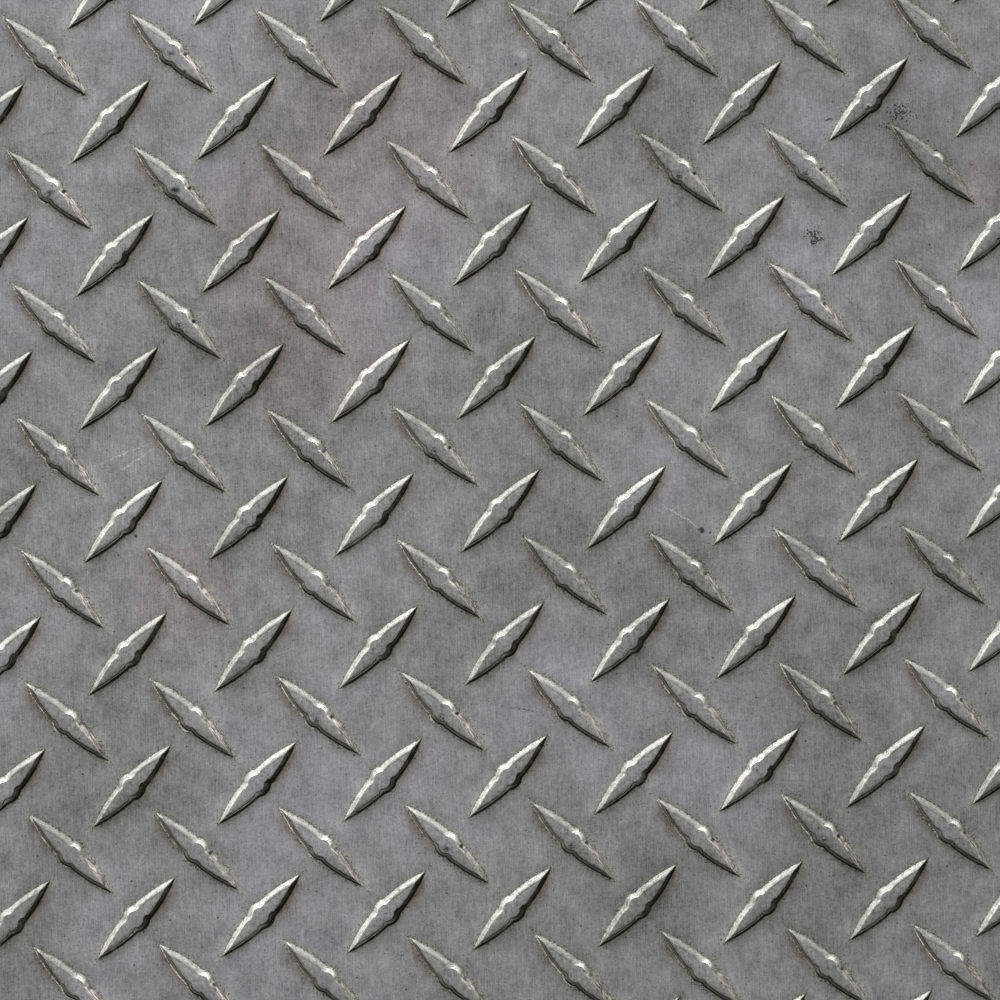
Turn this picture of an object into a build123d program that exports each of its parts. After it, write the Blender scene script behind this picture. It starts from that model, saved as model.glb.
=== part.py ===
from build123d import *
from math import asin, ceil, cos, sin
import os

# A square of rolled steel floor plate, tread side up, as one solid. Millimetres. The origin is
# the centre of the flat underside, X and Y run along the sheared edges and +Z leaves the tread.

# Sheet
plate_length = 304.8
plate_width = 304.8
plate_thickness = 4.76  # between the lugs

# Tread pattern: two families of lugs on equal grids, the second half a pitch off both ways
lug_pitch_x = 30.48
lug_pitch_y = 32.24
lug_angle = 45.0  # from X, to the left for the first family and to the right for the second
pattern_x = 4.0  # from the sheet's centre to the nearest lug of the first family
pattern_y = 3.9

# Lug, measured where it meets the sheet
lug_length = 27.2
lug_waist = 5.2
boss_diameter = 6.5
lug_height = 1.5
side_draft = 36.0  # lean of every side from upright, in degrees
lens_side_facets = 4
boss_facets = 12

BASE = (Align.CENTER, Align.CENTER, Align.MIN)


def lens_corners():
    """Plan of a lug without its boss: two equal shallow arcs that meet at the pointed ends."""
    half_length = lug_length / 2
    half_waist = lug_waist / 2
    arc_radius = (half_length**2 + half_waist**2) / (2 * half_waist)
    half_sweep = asin(half_length / arc_radius)
    corners = []
    for side in (1, -1):
        for step in range(lens_side_facets):
            angle = half_sweep * (1 - 2 * step / lens_side_facets)
            x = arc_radius * sin(angle)
            y = arc_radius * cos(angle) - arc_radius + half_waist
            corners.append((side * x, side * y))
    return corners


def tread_lug():
    """One lug along X: a long pointed lens and a round boss at its middle, both with leaning sides."""
    lens_plan = make_face(Polyline(*lens_corners(), close=True))
    boss_plan = RegularPolygon(boss_diameter / 2, boss_facets)
    lens = extrude(lens_plan, lug_height, taper=side_draft)
    boss = extrude(boss_plan, lug_height, taper=side_draft)
    return lens + boss


def grid_steps(span, pitch):
    """Whole pitches either way from the centre, enough to run past both edges of the sheet."""
    count = ceil((span / 2 + lug_length) / pitch) + 1
    return range(-count, count + 1)


def lug_family(lug, turn, shift):
    """Copies of a lug, turned alike, on every grid point that the sheet reaches."""
    turned = Rot(0, 0, turn) * lug
    reach = turned.bounding_box().max
    lugs = []
    for column in grid_steps(plate_length, lug_pitch_x):
        for row in grid_steps(plate_width, lug_pitch_y):
            x = pattern_x + (column + shift) * lug_pitch_x
            y = pattern_y + (row + shift) * lug_pitch_y
            over_x = abs(x) + reach.X - plate_length / 2
            over_y = abs(y) + reach.Y - plate_width / 2
            if over_x < 2 * reach.X and over_y < 2 * reach.Y:
                placed = Pos(x, y, plate_thickness) * turned
                lugs += sheared(placed) if max(over_x, over_y) > 0 else [placed]
    return lugs


def sheared(lug):
    """What the shear leaves of a lug that lies across an edge of the sheet."""
    kept = lug & Box(plate_length, plate_width, plate_thickness + 2 * lug_height, align=BASE)
    return kept.solids() if kept else []


def checker_plate():
    """The sheet with both families of lugs rolled into its upper face."""
    sheet = Box(plate_length, plate_width, plate_thickness, align=BASE)
    lug = tread_lug()
    rising = lug_family(lug, lug_angle, 0)
    falling = lug_family(lug, -lug_angle, 0.5)
    return sheet.fuse(*rising, *falling)


os.makedirs("parts", exist_ok=True)
export_step(checker_plate(), "parts/checker_plate.step")
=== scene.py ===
from math import atan2, ceil, cos, hypot, radians, sin

import bpy
from mathutils import Matrix, Vector


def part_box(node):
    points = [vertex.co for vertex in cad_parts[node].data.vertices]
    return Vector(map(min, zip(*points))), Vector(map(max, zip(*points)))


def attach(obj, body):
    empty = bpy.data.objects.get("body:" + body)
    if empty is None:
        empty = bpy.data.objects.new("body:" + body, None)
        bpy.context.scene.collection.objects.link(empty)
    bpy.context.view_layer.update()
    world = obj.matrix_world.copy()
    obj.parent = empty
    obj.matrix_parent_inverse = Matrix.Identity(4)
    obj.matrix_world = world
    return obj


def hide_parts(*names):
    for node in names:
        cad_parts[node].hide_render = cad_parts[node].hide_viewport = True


# A square of worn checker steel plate, seen from straight above. Metres, in the frame's own axes:
# the underside lies on z = 0 and the tread faces up.

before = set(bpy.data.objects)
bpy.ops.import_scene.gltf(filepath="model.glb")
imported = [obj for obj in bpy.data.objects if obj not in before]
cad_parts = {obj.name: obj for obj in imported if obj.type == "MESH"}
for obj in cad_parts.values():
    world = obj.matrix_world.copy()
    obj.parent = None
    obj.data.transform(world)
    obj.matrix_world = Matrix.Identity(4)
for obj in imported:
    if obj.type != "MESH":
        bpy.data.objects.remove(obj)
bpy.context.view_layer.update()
sheet_low, sheet_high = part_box("checker_plate")
MM = 1000  # millimetres in a metre

# Tread pattern: two families of lugs on equal grids, the falling one half a pitch off both ways
PITCH_X = 0.03048
PITCH_Y = 0.03224
PATTERN_X = 0.0040
PATTERN_Y = 0.0039
LUG_ANGLE = radians(45)

# Lug: the overlap of two large coins, which is a pointed lens, with a small coin for its boss
LUG_HEIGHT = 0.0015
LUG_LENGTH = 0.0272
LUG_WAIST = 0.0052
BOSS_RADIUS = 0.00325
LENS_COIN_RADIUS = ((LUG_LENGTH / 2) ** 2 + (LUG_WAIST / 2) ** 2) / LUG_WAIST
LENS_COIN_SIDES = 56
BOSS_COIN_SIDES = 16
TREAD_FLOOR = sheet_high.z - LUG_HEIGHT

# The lens has a narrow flat along its middle, and falls away from it to both long sides
RIDGE_HALF_WIDTH = 0.0007
RIDGE_FALL = radians(14)

# How far each ring of a lug's side stands outside its plan, and how high it is over the tread floor
SIDE_RINGS = (
    (0.00010, -0.00004),
    (-0.00006, 0.00014),
    (-0.00072, 0.00108),
    (-0.00098, 0.00135),
    (-0.00135, LUG_HEIGHT),
)

# Sheared edges: their round, and the segments that it is made of
EDGE_ROUND = 0.00025
EDGE_ROUND_SEGMENTS = 2

# Faces that meet at less than this are shaded as one, and larger faces pull the shading towards them
SMOOTH_BELOW = radians(38)
FACE_WEIGHT = 60

# Places on the sheet that the material needs, in mm
SHEET_THICKNESS = TREAD_FLOOR * MM
EDGE = sheet_high.x * MM
BURNISHED_FROM = 3.0

# Steel, as linear reflectance and as shares of it
BARE_STEEL = 0.195
SPECKLE_TONE = 0.165
GRAIN_TONE = 0.15
MOTTLE_TONE = 0.13
BLOTCH_TONE = 0.165
CLOUD_TONE = 0.20
POLISH_GAIN = 1.5
TOP_COARSENESS = 0.6
DARKEST_MARK = 0.12
DARKEST_TONE = 0.008
METAL_SHARE = 0.5
SPECULAR_LEVEL = 0.5
ROUGHNESS = 0.5
# The next two: how fully, and in what colour, grime and the painted shade lines cover the steel
GRIME_AND_SHADE_COVER = 0.97
GRIME_AND_SHADE = (0.009, 0.0085, 0.0075)
# The next two: the brownish cast and strength of the fringe below the lugs, partly grime and partly painted
# shadow
GRIME_AND_SHADOW_CAST = (0.62, 0.58, 0.53)
GRIME_AND_SHADOW_STRENGTH = 0.35
CHIP_CAST = (0.95, 0.90, 0.80)
RED_CAST = (1.04, 0.95, 0.97)
COOL_CAST = (1.0, 0.988, 1.02)
OLIVE_CAST = (1.005, 1.010, 0.958)

# Relief of the bare steel, in mm
SPECKLE_HEIGHT = 0.004
MOTTLE_HEIGHT = 0.008

# The photo: one pixel in mm, its turn, and the pixel of the rising lug nearest to its middle
PIXEL = 0.2416
PHOTO_TURN = radians(1.65)
LUG_PIXEL = (500.1, 510.7)

# Small dark dots all over the tread, about one to each square of the spacing, in mm
DOT_SPACING = 11.0
DOT_RADIUS = 0.34

# How far, in pitches, the line between neighbouring lugs shifts from half way
NEARER_SHIFT = 0.23

# Marks at the photo's pixels. Scratches: from, to, half width in mm, change of tone
SCRATCHES = (
    ((227, 30), (236, 85), 0.40, -0.70),
    ((28, 137), (77, 130), 0.40, -0.60),
    ((498, 706), (550, 715), 0.35, -0.60),
    ((80, 471), (166, 437), 0.34, 1.00),
    ((102, 482), (168, 438), 0.30, 0.95),
    ((500, 1), (580, 21), 0.30, 0.90),
    ((757, 106), (782, 180), 0.30, 0.60),
    ((652, 498), (708, 533), 0.32, 1.50),
    ((690, 537), (860, 534), 0.26, 0.70),
)
# Spots: middle, half width and half height in mm, change of tone
SPOTS = (
    ((702, 530), 1.10, 0.90, -1.50),
    ((135, 537), 0.60, 0.60, -1.40),
    ((172, 54), 1.20, 0.70, -0.95),
    ((184, 72), 0.70, 0.50, -1.20),
    ((176, 190), 1.70, 1.00, -1.25),
    ((51, 192), 1.20, 0.80, -0.85),
    ((226, 131), 0.35, 1.00, -1.30),
    ((522, 54), 1.80, 1.50, 0.55),
    ((867, 106), 0.80, 0.70, 1.60),
    ((867, 107), 0.40, 0.40, -3.00),
    ((828, 120), 1.30, 0.35, -1.10),
)
# Smears: middle, half width and half height in mm, change of tone
SMEARS = (
    ((478, 52), 2.4, 11.0, 0.36),
    ((492, 180), 2.6, 10.0, 0.34),
    ((885, 120), 9.0, 5.0, -0.16),
    ((800, 196), 7.0, 1.8, -0.28),
    ((975, 276), 7.5, 2.6, -0.30),
    ((232, 200), 11.0, 18.0, -0.18),
    ((940, 130), 50.0, 45.0, -0.23),
    ((960, 800), 130.0, 140.0, -0.10),
    ((200, 520), 75.0, 65.0, 0.06),
)
# Patches of grit: middle, half width and half height in mm
GRIT_PATCHES = (
    ((900, 112), 6.5, 4.2),
    ((884, 127), 4.2, 1.7),
    ((812, 236), 4.2, 3.4),
)
# Reddish stains: middle, half width and half height in mm
RED_STAINS = (
    ((978, 186), 8.0, 8.0),
    ((385, 135), 28.0, 34.0),
    ((310, 215), 27.0, 26.0),
    ((300, 320), 24.0, 30.0),
    ((180, 590), 15.0, 15.0),
)

# Lamps, all at one distance: name, azimuth and elevation in degrees, width in metres, power in watts
LAMP_DISTANCE = 3.6
LAMPS = (
    ("key_lamp", 114, 24, 1.8, 172),
    ("side_lamp", 66, 24, 1.8, 88),
    ("overhead_lamp", 140, 78, 2.4, 5),
    ("under_floor_lamp", 0, -80, 2.4, 150),
)

# Stage: how strongly the backdrop lights what isn't glossy, and the pale floor just below the plate
AMBIENT = 0.08
FLOOR_SIZE = 8.0
FLOOR_GAP = 0.0002
PALE_PAPER = (0.8, 0.8, 0.8, 1)
PAPER_ROUGHNESS = 0.9

# Camera: a long lens almost straight above, turned and tilted as little as the photo is
CAMERA_LENS = 200
CAMERA_CLIP_END = 10
CAMERA_PLACE = (0.0360, 0.0655, 1.3471)
CAMERA_TURN = (radians(-2.554), radians(1.293), radians(-1.651))


def deselect_all():
    if bpy.context.mode != "OBJECT":
        bpy.ops.object.mode_set(mode="OBJECT")
    bpy.ops.object.select_all(action="DESELECT")


def make_active(piece):
    deselect_all()
    piece.select_set(True)
    bpy.context.view_layer.objects.active = piece


def apply_boolean(piece, other, operation, solver="EXACT"):
    """Cuts or joins piece by other, and removes other."""
    make_active(piece)
    modifier = piece.modifiers.new(operation.lower(), "BOOLEAN")
    modifier.operation = operation
    modifier.solver = solver
    modifier.object = other
    bpy.ops.object.modifier_apply(modifier=modifier.name)
    bpy.data.objects.remove(other)


def turned_coin(name, radius, sides, centre_y):
    """A disc whose rim has a lug's side profile, built up ring by ring."""
    deselect_all()
    first_out, first_up = SIDE_RINGS[0]
    bpy.ops.mesh.primitive_circle_add(
        vertices=sides, radius=radius + first_out, fill_type="NGON", location=(0, 0, first_up)
    )
    coin = bpy.context.active_object
    coin.name = name
    bpy.ops.object.mode_set(mode="EDIT")
    bpy.ops.mesh.select_all(action="SELECT")
    for (out_before, up_before), (out, up) in zip(SIDE_RINGS, SIDE_RINGS[1:]):
        scale = (radius + out) / (radius + out_before)
        bpy.ops.mesh.extrude_region_move(TRANSFORM_OT_translate={"value": (0, 0, up - up_before)})
        bpy.ops.transform.resize(value=(scale, scale, 1))
    bpy.ops.mesh.select_all(action="SELECT")
    bpy.ops.mesh.normals_make_consistent(inside=False)
    bpy.ops.transform.translate(value=(0, centre_y, 0))
    bpy.ops.object.mode_set(mode="OBJECT")
    bpy.ops.object.transform_apply(location=True, rotation=True, scale=True)
    return coin


def shave(piece, side):
    """Cuts the slope from a lens's middle flat down to one of its long sides."""
    make_active(piece)
    bpy.ops.object.mode_set(mode="EDIT")
    bpy.ops.mesh.select_all(action="SELECT")
    bpy.ops.mesh.bisect(
        plane_co=(0, side * RIDGE_HALF_WIDTH, LUG_HEIGHT),
        plane_no=(0, side * sin(RIDGE_FALL), cos(RIDGE_FALL)),
        use_fill=True,
        clear_outer=True,
    )
    bpy.ops.object.mode_set(mode="OBJECT")


def lug_template():
    """One lug along X over z = 0: the overlap of two large coins, with a round boss at the middle."""
    offset = LENS_COIN_RADIUS - LUG_WAIST / 2
    lug = turned_coin("lug", LENS_COIN_RADIUS, LENS_COIN_SIDES, -offset)
    other_side = turned_coin("lug_other_side", LENS_COIN_RADIUS, LENS_COIN_SIDES, offset)
    apply_boolean(lug, other_side, "INTERSECT")
    for side in (1, -1):
        shave(lug, side)
    boss = turned_coin("lug_boss", BOSS_RADIUS, BOSS_COIN_SIDES, 0)
    apply_boolean(lug, boss, "UNION")
    return lug


def lug_places():
    """Centre and turn of every lug that the sheet reaches."""
    reach = LUG_LENGTH / 2 * cos(LUG_ANGLE) + BOSS_RADIUS / 4
    columns = ceil((sheet_high.x + LUG_LENGTH) / PITCH_X) + 1
    rows = ceil((sheet_high.y + LUG_LENGTH) / PITCH_Y) + 1
    for shift, turn in ((0, LUG_ANGLE), (0.5, -LUG_ANGLE)):
        for column in range(-columns, columns + 1):
            for row in range(-rows, rows + 1):
                x = PATTERN_X + (column + shift) * PITCH_X
                y = PATTERN_Y + (row + shift) * PITCH_Y
                if abs(x) - reach < sheet_high.x and abs(y) - reach < sheet_high.y:
                    yield x, y, turn


def all_lugs():
    """Every lug copied to its place and joined in one mesh, before the sheet's edges trim them."""
    template = lug_template()
    copies = []
    for x, y, turn in lug_places():
        copy = template.copy()
        copy.data = template.data.copy()
        bpy.context.scene.collection.objects.link(copy)
        copy.matrix_world = Matrix.Translation((x, y, TREAD_FLOOR)) @ Matrix.Rotation(turn, 4, "Z")
        copies.append(copy)
    bpy.data.objects.remove(template)
    deselect_all()
    for copy in copies:
        copy.select_set(True)
    bpy.context.view_layer.objects.active = copies[0]
    bpy.ops.object.join()
    lugs = bpy.context.active_object
    lugs.name = "lugs"
    bpy.ops.object.transform_apply(location=True, rotation=True, scale=True)
    return lugs


def box_between(name, low, high):
    deselect_all()
    centre = (low + high) / 2
    bpy.ops.mesh.primitive_cube_add(size=1, location=centre, scale=high - low)
    box = bpy.context.active_object
    box.name = name
    bpy.ops.object.transform_apply(location=True, rotation=True, scale=True)
    return box


def plate_piece():
    """The whole plate as one closed shell: a sheet with softened sheared edges and its lugs."""
    lugs = all_lugs()
    shear_low = Vector((sheet_low.x, sheet_low.y, 0))
    shear_high = Vector((sheet_high.x, sheet_high.y, 2 * sheet_high.z))
    apply_boolean(lugs, box_between("shear_outline", shear_low, shear_high), "INTERSECT", "MANIFOLD")
    plate = box_between("checker_steel_plate", sheet_low, Vector((sheet_high.x, sheet_high.y, TREAD_FLOOR)))
    make_active(plate)
    bpy.ops.object.mode_set(mode="EDIT")
    bpy.ops.mesh.select_all(action="SELECT")
    bpy.ops.mesh.bevel(offset=EDGE_ROUND, segments=EDGE_ROUND_SEGMENTS, affect="EDGES")
    bpy.ops.object.mode_set(mode="OBJECT")
    apply_boolean(plate, lugs, "UNION", "MANIFOLD")
    make_active(plate)
    bpy.ops.object.shade_smooth_by_angle(angle=SMOOTH_BELOW)
    weighting = plate.modifiers.new("weighted_normals", "WEIGHTED_NORMAL")
    weighting.keep_sharp = True
    weighting.weight = FACE_WEIGHT
    bpy.ops.object.modifier_apply(modifier=weighting.name)
    return plate


class Field:
    """A number that varies over the surface. Arithmetic on it adds the nodes that work it out.

    A product waits for its node until it is used, because one node can multiply and add at once.
    """

    def __init__(self, socket=None, factors=None):
        self.made_socket = socket
        self.factors = factors
        self.nodes = factors[0].nodes if factors else socket.node.id_data.nodes

    @property
    def socket(self):
        if self.made_socket is None:
            one, other = self.factors
            self.made_socket = one.math("MULTIPLY", other).socket
        return self.made_socket

    def math(self, operation, *others):
        node = self.nodes.new("ShaderNodeMath")
        node.operation = operation
        for entry, value in zip(node.inputs, (self, *others)):
            feed(entry, value)
        return Field(node.outputs[0])

    def __add__(self, other):
        for part, rest in ((self, other), (other, self)):
            if isinstance(part, Field) and part.made_socket is None:
                return part.factors[0].math("MULTIPLY_ADD", part.factors[1], rest)
        return self.math("ADD", other)

    def __sub__(self, other):
        if isinstance(other, Field):
            return self.math("SUBTRACT", other)
        return self + -other

    def __mul__(self, other):
        return Field(factors=(self, other))

    def __truediv__(self, other):
        return self.math("DIVIDE", other)

    def __abs__(self):
        return self.math("ABSOLUTE")

    def least(self, other):
        return self.math("MINIMUM", other)

    def most(self, other):
        return self.math("MAXIMUM", other)

    def root(self):
        return self.math("SQRT")

    def inverse(self):
        """What is left of one: turns a mask over."""
        return self * -1 + 1

    def step(self, start, end):
        """A soft step from 0 where the field is at start to 1 where it is at end."""
        node = self.nodes.new("ShaderNodeMapRange")
        node.interpolation_type = "SMOOTHSTEP"
        feed(node.inputs["Value"], self)
        node.inputs["From Min"].default_value = start
        node.inputs["From Max"].default_value = end
        return Field(node.outputs["Result"])

    def band(self, low, high, soft):
        """1 between low and high, with soft ends outside them."""
        return self.step(low - soft, low) * self.step(high + soft, high)


def feed(entry, value):
    """Links a field to a node's input, or sets the input to a plain number."""
    if isinstance(value, Field):
        entry.id_data.links.new(value.socket, entry)
    else:
        entry.default_value = value


def centred(texture):
    """A noise texture's value, about 0 and mostly within -1 and 1."""
    return Field(texture.outputs["Fac"]) * 5 - 2.5


class Surface:
    """The plate's places in millimetres, as fields of one material."""

    def __init__(self, tree):
        self.tree = tree
        coordinates = tree.nodes.new("ShaderNodeTexCoord")
        scale = tree.nodes.new("ShaderNodeVectorMath")
        scale.operation = "SCALE"
        scale.inputs["Scale"].default_value = MM
        tree.links.new(coordinates.outputs["Object"], scale.inputs[0])
        self.place = scale.outputs[0]
        split = tree.nodes.new("ShaderNodeSeparateXYZ")
        tree.links.new(self.place, split.inputs[0])
        self.x, self.y, self.z = (Field(output) for output in split.outputs)

    def scaled(self, place, scale, shift):
        """A place scaled and then shifted along each axis."""
        node = self.tree.nodes.new("ShaderNodeVectorMath")
        node.operation = "MULTIPLY_ADD"
        self.tree.links.new(place, node.inputs[0])
        node.inputs[1].default_value = scale
        node.inputs[2].default_value = shift
        return node.outputs[0]

    def noise(self, seed, size, detail, along_y=1.0, along_z=1.0):
        """Cloudy noise with features of a size in mm, drawn out along Y or Z where that is asked."""
        scale = (1 / size, 1 / (size * along_y), 1 / (size * along_z))
        shift = (seed * 17.3, seed * 5.9, seed * 2.1)
        texture = self.tree.nodes.new("ShaderNodeTexNoise")
        texture.inputs["Scale"].default_value = 1.0
        texture.inputs["Detail"].default_value = detail
        self.tree.links.new(self.scaled(self.place, scale, shift), texture.inputs["Vector"])
        return centred(texture)

    def drifted(self, aside, above):
        """The same places, pushed aside and up by two fields, so that marks laid on them waver."""
        push = self.tree.nodes.new("ShaderNodeCombineXYZ")
        feed(push.inputs[0], aside)
        feed(push.inputs[1], above)
        add = self.tree.nodes.new("ShaderNodeVectorMath")
        self.tree.links.new(self.place, add.inputs[0])
        self.tree.links.new(push.outputs[0], add.inputs[1])
        return add.outputs[0]

    def turned(self, place, turn):
        """A place turned back about Z, so that a mark laid along X on it lies along the turn."""
        node = self.tree.nodes.new("ShaderNodeVectorRotate")
        node.rotation_type = "Z_AXIS"
        node.inputs["Angle"].default_value = -turn
        self.tree.links.new(place, node.inputs["Vector"])
        return node.outputs[0]

    def mark(self, place, middle, half_length, half_width):
        """An oval mark: 1 at its middle, and fading evenly to 0 at its rim."""
        scale = (1 / half_length, 1 / half_width, 0)
        shift = (-middle[0] / half_length, -middle[1] / half_width, 0)
        gradient = self.tree.nodes.new("ShaderNodeTexGradient")
        gradient.gradient_type = "SPHERICAL"
        self.tree.links.new(self.scaled(place, scale, shift), gradient.inputs["Vector"])
        return Field(gradient.outputs["Fac"])

    def scratch(self, place, start, end, half_width):
        """A long thin mark from one place to another, in mm."""
        (x0, y0), (x1, y1) = start, end
        turn = atan2(y1 - y0, x1 - x0)
        middle_x, middle_y = (x0 + x1) / 2, (y0 + y1) / 2
        middle = (
            middle_x * cos(turn) + middle_y * sin(turn),
            middle_y * cos(turn) - middle_x * sin(turn),
        )
        return self.mark(self.turned(place, turn), middle, hypot(x1 - x0, y1 - y0) / 2, half_width)

    def patches(self, place, ovals):
        """Several oval marks in one field, the strongest where they overlap."""
        field = None
        for middle, half_width, half_height in ovals:
            one = self.mark(place, plate_place(middle), half_width, half_height)
            field = one if field is None else field.most(one)
        return field

    def old_marks(self, place, crumbs):
        """How much the scratches, spots and smears change the tone. Crumbs break the scratches up."""
        field = None
        for start, end, half_width, change in SCRATCHES:
            one = self.scratch(place, plate_place(start), plate_place(end), half_width)
            field = one * change if field is None else one * change + field
        field = field * crumbs.step(-0.8, 0.2)
        for middle, half_width, half_height, change in SPOTS + SMEARS:
            one = self.mark(place, plate_place(middle), half_width, half_height)
            field = one * change + field
        return field

    def dots(self, spacing, radius):
        """Small round dots of many sizes, scattered about a spacing apart, 1 inside them."""
        texture = self.tree.nodes.new("ShaderNodeTexVoronoi")
        texture.voronoi_dimensions = "2D"
        texture.inputs["Scale"].default_value = 1 / spacing
        self.tree.links.new(self.place, texture.inputs["Vector"])
        size = self.tree.nodes.new("ShaderNodeSeparateColor")
        self.tree.links.new(texture.outputs["Color"], size.inputs[0])
        reach = Field(size.outputs[0]) * radius - Field(texture.outputs["Distance"]) * spacing
        return reach.step(0.0, radius * 0.4)

    def streaks(self, lug):
        """Noise drawn out along a lug's sides, and different on each lug."""
        join = self.tree.nodes.new("ShaderNodeCombineXYZ")
        feed(join.inputs[0], lug.along * 0.55)
        feed(join.inputs[1], lug.outside * 4.2)
        feed(join.inputs[2], lug.chance * 90)
        texture = self.tree.nodes.new("ShaderNodeTexNoise")
        texture.inputs["Scale"].default_value = 1.0
        texture.inputs["Detail"].default_value = 1.0
        self.tree.links.new(join.outputs[0], texture.inputs["Vector"])
        return centred(texture)

    def chance(self, column, row, seed):
        """A random number from 0 to 1 for each lug of a family."""
        join = self.tree.nodes.new("ShaderNodeCombineXYZ")
        feed(join.inputs[0], column)
        feed(join.inputs[1], row)
        join.inputs[2].default_value = seed
        texture = self.tree.nodes.new("ShaderNodeTexWhiteNoise")
        self.tree.links.new(join.outputs[0], texture.inputs["Vector"])
        return Field(texture.outputs["Value"])


class LugField:
    """Where a point lies on its nearest lug, in mm: along it, across it and outside its plan."""

    def __init__(self, surface):
        column = (surface.x - PATTERN_X * MM) / (PITCH_X * MM)
        row = (surface.y - PATTERN_Y * MM) / (PITCH_Y * MM)
        near_column = column.math("ROUND")
        near_row = row.math("ROUND")
        aside = column - near_column
        above = row - near_row

        # A falling lug is the nearer one past a line, which lies farther out along a rising lug
        # than beside it
        line = (aside * above).math("SIGN") * NEARER_SHIFT + 0.5
        self.falling = (abs(aside) + abs(above)).math("GREATER_THAN", line)
        half_pitch = self.falling * 0.5
        to_column = aside.math("SIGN") * half_pitch
        to_row = above.math("SIGN") * half_pitch
        from_lug_x = (aside - to_column) * (PITCH_X * MM)
        from_lug_y = (above - to_row) * (PITCH_Y * MM)
        way = self.falling * -2 + 1
        turned_y = from_lug_y * way
        self.above = from_lug_y
        self.along = from_lug_x * cos(LUG_ANGLE) + turned_y * sin(LUG_ANGLE)
        self.across = (turned_y * cos(LUG_ANGLE) - from_lug_x * sin(LUG_ANGLE)) * way

        radius = LENS_COIN_RADIUS * MM
        from_axis = abs(self.across) + (radius - LUG_WAIST / 2 * MM)
        along_squared = self.along * self.along
        lens = (along_squared + from_axis * from_axis).root() - radius
        boss = (along_squared + self.across * self.across).root() - BOSS_RADIUS * MM
        self.on_boss = boss.step(0.3, -0.5)
        self.outside = lens.least(boss)
        self.lower = self.across.step(0.4, -0.4)
        self.far_end = self.along.step(1.0, 3.5)

        self.chance = surface.chance(near_column + to_column, near_row + to_row, 1.0)
        self.second_chance = surface.chance(near_column + to_column, near_row + to_row, 2.0)

    def choose(self, rising, falling):
        """One number on rising lugs and another on falling ones."""
        return self.falling * (falling - rising) + rising

    def spot(self, along, across, radius):
        """A soft round spot at a place on every lug."""
        aside = self.along - along
        above = self.across - across
        return (aside * aside + above * above).root().step(radius, radius * 0.3)


def plate_place(pixel):
    """The place on the plate, in mm, that a pixel of the photo shows."""
    right = (pixel[0] - LUG_PIXEL[0]) * PIXEL
    up = (LUG_PIXEL[1] - pixel[1]) * PIXEL
    return (
        PATTERN_X * MM + right * cos(PHOTO_TURN) + up * sin(PHOTO_TURN),
        PATTERN_Y * MM + up * cos(PHOTO_TURN) - right * sin(PHOTO_TURN),
    )


def blend(tree, amount, below, above, mode="MIX"):
    """One colour laid over another by an amount."""
    node = tree.nodes.new("ShaderNodeMix")
    node.data_type = "RGBA"
    node.blend_type = mode
    feed(node.inputs["Factor"], amount)
    for name, colour in (("A", below), ("B", above)):
        entry = next(entry for entry in node.inputs if entry.name == name and entry.type == "RGBA")
        if isinstance(colour, tuple):
            entry.default_value = (*colour, 1)
        else:
            tree.links.new(colour, entry)
    return next(output for output in node.outputs if output.type == "RGBA")


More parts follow.
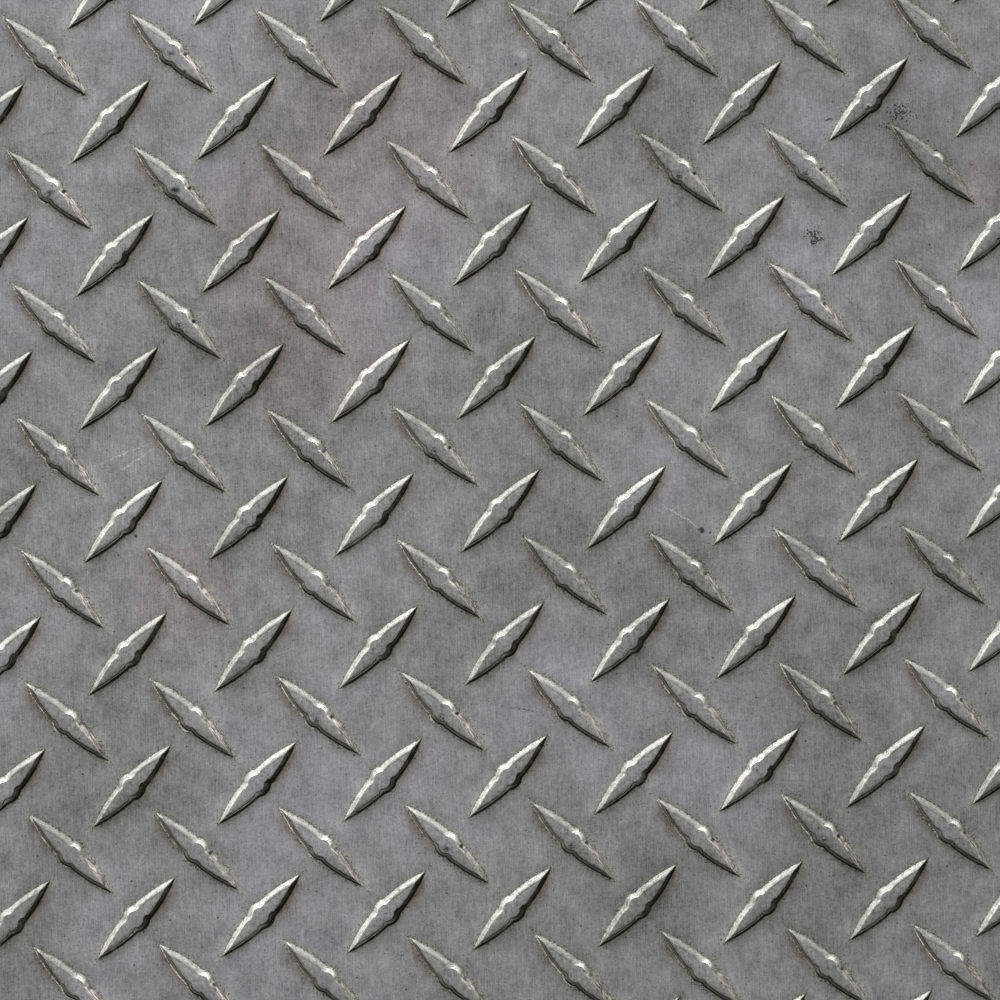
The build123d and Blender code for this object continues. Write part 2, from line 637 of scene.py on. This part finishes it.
def steel():
    """Rolled steel with straight fine grain, worn lug shoulders with painted highlights, painted light and
    shade about the lugs, grime at the lugs' feet and old marks.
    """
    material = bpy.data.materials.new("worn_steel")
    material.use_nodes = True
    tree = material.node_tree
    shader = tree.nodes["Principled BSDF"]
    surface = Surface(tree)

    speckle = surface.noise(1, 0.36, 1.0)
    grain = surface.noise(2, 0.30, 1.0, along_y=20)
    mottle = surface.noise(3, 1.1, 1.0)
    blotch = surface.noise(4, 7.0, 2.0)
    cloud = surface.noise(5, 34.0, 2.0)
    crumbs = surface.noise(6, 0.45, 1.0)
    flow = surface.noise(8, 3.0, 1.0)
    tread_side = surface.z.step(SHEET_THICKNESS - 0.30, SHEET_THICKNESS - 0.08)

    lug = LugField(surface)
    streaks = surface.streaks(lug)
    rim = lug.outside + crumbs * 0.05
    inside = rim.step(-0.1, -0.5)
    beyond = rim.step(-0.1, 0.2)
    rising = lug.falling.inverse()
    upper = lug.lower.inverse()
    near_end = lug.along.step(-1.0, -3.5)
    past_middle = lug.along.step(-2.5, 0.5)
    high = lug.above.step(-4.5, 4.5)

    # Tone of the bare steel
    tone = speckle * SPECKLE_TONE + mottle * MOTTLE_TONE * (inside * TOP_COARSENESS + 1)
    tone = tone + grain * GRAIN_TONE + blotch * BLOTCH_TONE + cloud * CLOUD_TONE + 1
    tone = tone * BARE_STEEL

    # Painted light and shade: the tops are a little brighter at their upper ends and upper sides, and the
    # flats above the lugs brighter at the lower ends and darker at the upper ends
    tone = tone * (inside * (lug.above * 0.017 + lug.across * 0.05) + 1)
    shade_halo = rim.step(3.6, 0.8) * beyond * upper * tread_side
    tone = tone * (shade_halo * (high * -0.25 + 0.15) + 1)

    # Bright sides and shoulders, partly worn steel and partly painted highlight, stronger on the rising
    # lugs and weaker on the lower far halves, reaching farther in on the bosses; painted highlights on each
    # boss's upper side and at the falling lugs' near tips
    shifted_rim = rim + lug.on_boss * 0.28 + near_end * (upper * lug.choose(0.20, 0.0) - 0.11)
    shine = lug.chance * 0.25 + (near_end * 0.80 + 0.50) * rising + 0.15
    polish_and_highlight = shifted_rim.band(-0.85, -0.07, 0.20) * shine
    polish_and_highlight = polish_and_highlight * (lug.lower * past_middle * -0.6 + 1)
    tip_highlight = lug.along.step(-11.2, -12.8) * rim.step(0.1, -0.2) * lug.falling
    boss_highlight = lug.spot(-0.2, 2.35, 1.7) * shifted_rim.band(-0.78, -0.22, 0.14) * lug.choose(0.4, 1.25)
    polish_and_highlight = (polish_and_highlight + boss_highlight).most(tip_highlight) * (streaks * 0.22 + 1) * tread_side
    # Painted shade: darker upper chamfers at the far ends of the rising lugs and the near ends of the
    # falling ones
    shaded_ends = lug.far_end * rising * -0.50 + near_end * lug.falling * -0.36
    chamfer_shade = rim.band(-1.4, -0.82, 0.15) * upper * shaded_ends
    tone = tone * (polish_and_highlight * POLISH_GAIN + 1) * (chamfer_shade + 1)

    # Chipped far half of the falling lugs' upper sides
    chipped = lug.far_end * upper * lug.falling * rim.band(-1.15, 0.10, 0.25) * tread_side
    chipped = chipped * (lug.second_chance * 0.6 + 0.5)
    chip_tone = streaks.step(0.05, 0.65) * 0.9 + crumbs.step(0.2, 0.8) * 0.5
    chip_tone = chip_tone + streaks.step(-0.15, -0.75) * -0.65
    tone = tone * (chip_tone * chipped + 1)

    # Grime and painted shade: painted shade lines under the lower shoulders, at the lower feet and faintly
    # at the upper feet; grime in notches beside the bosses, dents in some tops, flecks at the feet, patches
    # of grit and small dots
    shoulder_line = shifted_rim.band(-0.90, -0.74, 0.08) * (streaks * 0.2 + lug.choose(0.95, 0.75))
    foot_line = rim.band(-0.34, 0.19, 0.10) * rising
    deep_line = (rim + lug.on_boss * 0.65).step(-0.84, -0.70) * rim.step(-0.16, -0.30) * past_middle
    deep_line = deep_line * lug.choose(0.78, 0.18)
    thin_line = (rim - lug.far_end * 0.22).band(-0.42, -0.14, 0.10)
    thin_line = thin_line * (past_middle * 0.62 + 0.30) * lug.falling
    shade_lines = shoulder_line.most(foot_line).most(deep_line).most(thin_line) * lug.lower * (flow * 0.22 + 1.05)
    shade_lines = shade_lines.most(rim.band(0.04, 0.16, 0.10) * upper * 0.16)
    notch = lug.spot(2.75, 2.1, 0.75) * (lug.chance * 0.6 + 0.5) * lug.falling
    dent = lug.spot(0.6, -1.0, 1.3) * lug.chance.step(0.72, 0.80) * crumbs.step(-0.9, 0.5) * lug.falling
    flecks = rim.step(1.6, 0.1) * rim.step(-0.4, 0.0) * lug.choose(0.50, 0.72)
    flecks = (crumbs + flecks).step(0.86, 1.15) * 0.62
    wavering = surface.drifted(flow * 0.25, mottle * 0.20)
    grit = surface.patches(wavering, GRIT_PATCHES)
    grit = (crumbs + mottle * 0.6 + grit * 2.0).step(1.1, 2.0) * grit.step(0.0, 0.2)
    grime_and_shade = shade_lines.most(notch).most(dent * 0.8).most(flecks).most(grit * 0.85)
    grime_and_shade = (grime_and_shade.most(surface.dots(DOT_SPACING, DOT_RADIUS) * 0.75) * tread_side).least(1)

    # A soft fringe below the lugs, partly grime and partly painted shadow, and a painted highlight line at
    # the lower feet of the falling ones
    grime_and_shadow_fringe = rim.step(3.6, 0.1) * lug.lower * (high * 2.4 + 0.5)
    grime_and_shadow_fringe = (grime_and_shadow_fringe * beyond * abs(lug.along).step(14.6, 10.5) * (flow * 0.3 + 0.8) * tread_side).most(0)
    # Painted highlight: a pale line just outside the lower feet of the falling lugs, away from their far
    # ends
    foot_rim_highlight = rim.band(0.02, 0.22, 0.12) * lug.lower * lug.falling
    foot_rim_highlight = foot_rim_highlight * lug.far_end.inverse() * streaks.step(-0.6, 0.4)
    tone = tone * (foot_rim_highlight * tread_side * (lug.second_chance * 2.4 + 0.1) + 1)

    # Old marks
    tone = tone * (surface.old_marks(wavering, crumbs) * tread_side + 1).most(DARKEST_MARK)

    # Sheared edges: a burnished strip above a dull torn one, both drawn up and down, and a worn rim
    to_edge = abs(surface.x).most(abs(surface.y))
    sheared = to_edge.step(EDGE - 0.12, EDGE - 0.02)
    drawn = surface.noise(9, 0.30, 1.0, along_z=9)
    strip = surface.z.step(BURNISHED_FROM, BURNISHED_FROM + 0.4) * 0.30 + drawn * 0.18
    tone = tone * (sheared * (strip - 0.12) + 1)
    rim_wear = to_edge.step(EDGE - 0.45, EDGE - 0.20)
    rim_wear = rim_wear * surface.z.step(SHEET_THICKNESS - 0.40, SHEET_THICKNESS - 0.20)
    tone = tone * (rim_wear * (mottle * 0.3 + 0.45) + 1)

    # Faint reddish stains, which are weaker on the lugs
    stains = surface.patches(surface.drifted(blotch * 3.0, flow * 2.0), RED_STAINS)
    stained = stains.step(0.0, 0.7) * tread_side * (beyond * 0.75 + 0.25)

    # Colour: the tone in grey, a faint cast where each finish has one, and grime and painted shade over all
    grey = tree.nodes.new("ShaderNodeCombineColor")
    tone = tone.most(DARKEST_TONE)
    for entry in grey.inputs:
        feed(entry, tone)
    colour = blend(tree, cloud * 0.5 + 0.5, grey.outputs[0], COOL_CAST, "MULTIPLY")
    colour = blend(tree, stained, colour, RED_CAST, "MULTIPLY")
    colour = blend(tree, grime_and_shadow_fringe * GRIME_AND_SHADOW_STRENGTH, colour, GRIME_AND_SHADOW_CAST, "MULTIPLY")
    colour = blend(tree, rim.band(-1.0, 0.4, 1.2) * tread_side, colour, OLIVE_CAST, "MULTIPLY")
    colour = blend(tree, chipped * 0.5, colour, CHIP_CAST, "MULTIPLY")
    colour = blend(tree, grime_and_shade * GRIME_AND_SHADE_COVER, colour, GRIME_AND_SHADE)
    tree.links.new(colour, shader.inputs["Base Color"])

    # Gloss: grime and painted shade are dull and hardly metal, and worn and highlighted steel is a little
    # smoother
    feed(shader.inputs["Metallic"], grime_and_shade * -0.45 + METAL_SHARE)
    feed(shader.inputs["Specular IOR Level"], grime_and_shade * -0.42 + SPECULAR_LEVEL)
    feed(shader.inputs["Roughness"], polish_and_highlight * -0.10 + grime_and_shade * 0.3 + mottle * 0.03 + ROUGHNESS)

    bump = tree.nodes.new("ShaderNodeBump")
    bump.inputs["Strength"].default_value = 1.0
    bump.inputs["Distance"].default_value = 1 / MM
    feed(bump.inputs["Height"], speckle * SPECKLE_HEIGHT + mottle * MOTTLE_HEIGHT)
    tree.links.new(bump.outputs["Normal"], shader.inputs["Normal"])
    return material


plate = plate_piece()
plate.data.materials.clear()
plate.data.materials.append(steel())
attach(plate, "root")
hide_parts("checker_plate")

deselect_all()
bpy.ops.mesh.primitive_plane_add(size=FLOOR_SIZE, location=(0, 0, -FLOOR_GAP))
floor = bpy.context.active_object
floor.name = "floor"
paper = bpy.data.materials.new("pale_floor")
paper.use_nodes = True
paper_nodes = paper.node_tree.nodes
paper_shader = paper_nodes["Principled BSDF"]
paper_shader.inputs["Base Color"].default_value = PALE_PAPER
paper_shader.inputs["Roughness"].default_value = PAPER_ROUGHNESS

# The floor is clear from below, and to the lamp under it, so that the plate's underside can be seen
from_below = Field(paper_nodes.new("ShaderNodeNewGeometry").outputs["Backfacing"])
to_a_lamp = Field(paper_nodes.new("ShaderNodeLightPath").outputs["Is Shadow Ray"])
clearing = paper_nodes.new("ShaderNodeMixShader")
feed(clearing.inputs[0], from_below.most(to_a_lamp))
paper.node_tree.links.new(paper_shader.outputs[0], clearing.inputs[1])
paper.node_tree.links.new(paper_nodes.new("ShaderNodeBsdfTransparent").outputs[0], clearing.inputs[2])
paper.node_tree.links.new(clearing.outputs[0], paper_nodes["Material Output"].inputs["Surface"])
floor.data.materials.append(paper)


def add_lamp(name, azimuth, elevation, width, power):
    """A round soft lamp that faces the plate. Azimuth runs from +X towards +Y, in degrees."""
    a, e = radians(azimuth), radians(elevation)
    towards = Vector((cos(a) * cos(e), sin(a) * cos(e), sin(e)))
    lamp = bpy.data.lights.new(name, "AREA")
    lamp.shape = "DISK"
    lamp.size = width
    lamp.energy = power
    holder = bpy.data.objects.new(name, lamp)
    bpy.context.scene.collection.objects.link(holder)
    holder.location = towards * LAMP_DISTANCE
    holder.rotation_euler = towards.to_track_quat("Z", "Y").to_euler()
    holder.visible_camera = False


for lamp_row in LAMPS:
    add_lamp(*lamp_row)

world = bpy.data.worlds.new("studio")
world.use_nodes = True
bpy.context.scene.world = world
backdrop = world.node_tree.nodes["Background"]
backdrop.inputs["Color"].default_value = (1, 1, 1, 1)

# The backdrop looks white, in the steel's gloss too, and lights the plate far less
light_path = world.node_tree.nodes.new("ShaderNodeLightPath")
to_the_eye, in_gloss, through_glass = (
    Field(light_path.outputs[name]) for name in ("Is Camera Ray", "Is Glossy Ray", "Is Transmission Ray")
)
seen = to_the_eye.most(in_gloss).most(through_glass)
feed(backdrop.inputs["Strength"], seen * (1 - AMBIENT) + AMBIENT)

camera = bpy.data.cameras.new("camera")
camera.lens = CAMERA_LENS
camera.clip_end = CAMERA_CLIP_END
viewer = bpy.data.objects.new("camera", camera)
bpy.context.scene.collection.objects.link(viewer)
viewer.location = CAMERA_PLACE
viewer.rotation_euler = CAMERA_TURN
bpy.context.scene.camera = viewer

bpy.context.scene.view_settings.view_transform = "Standard"
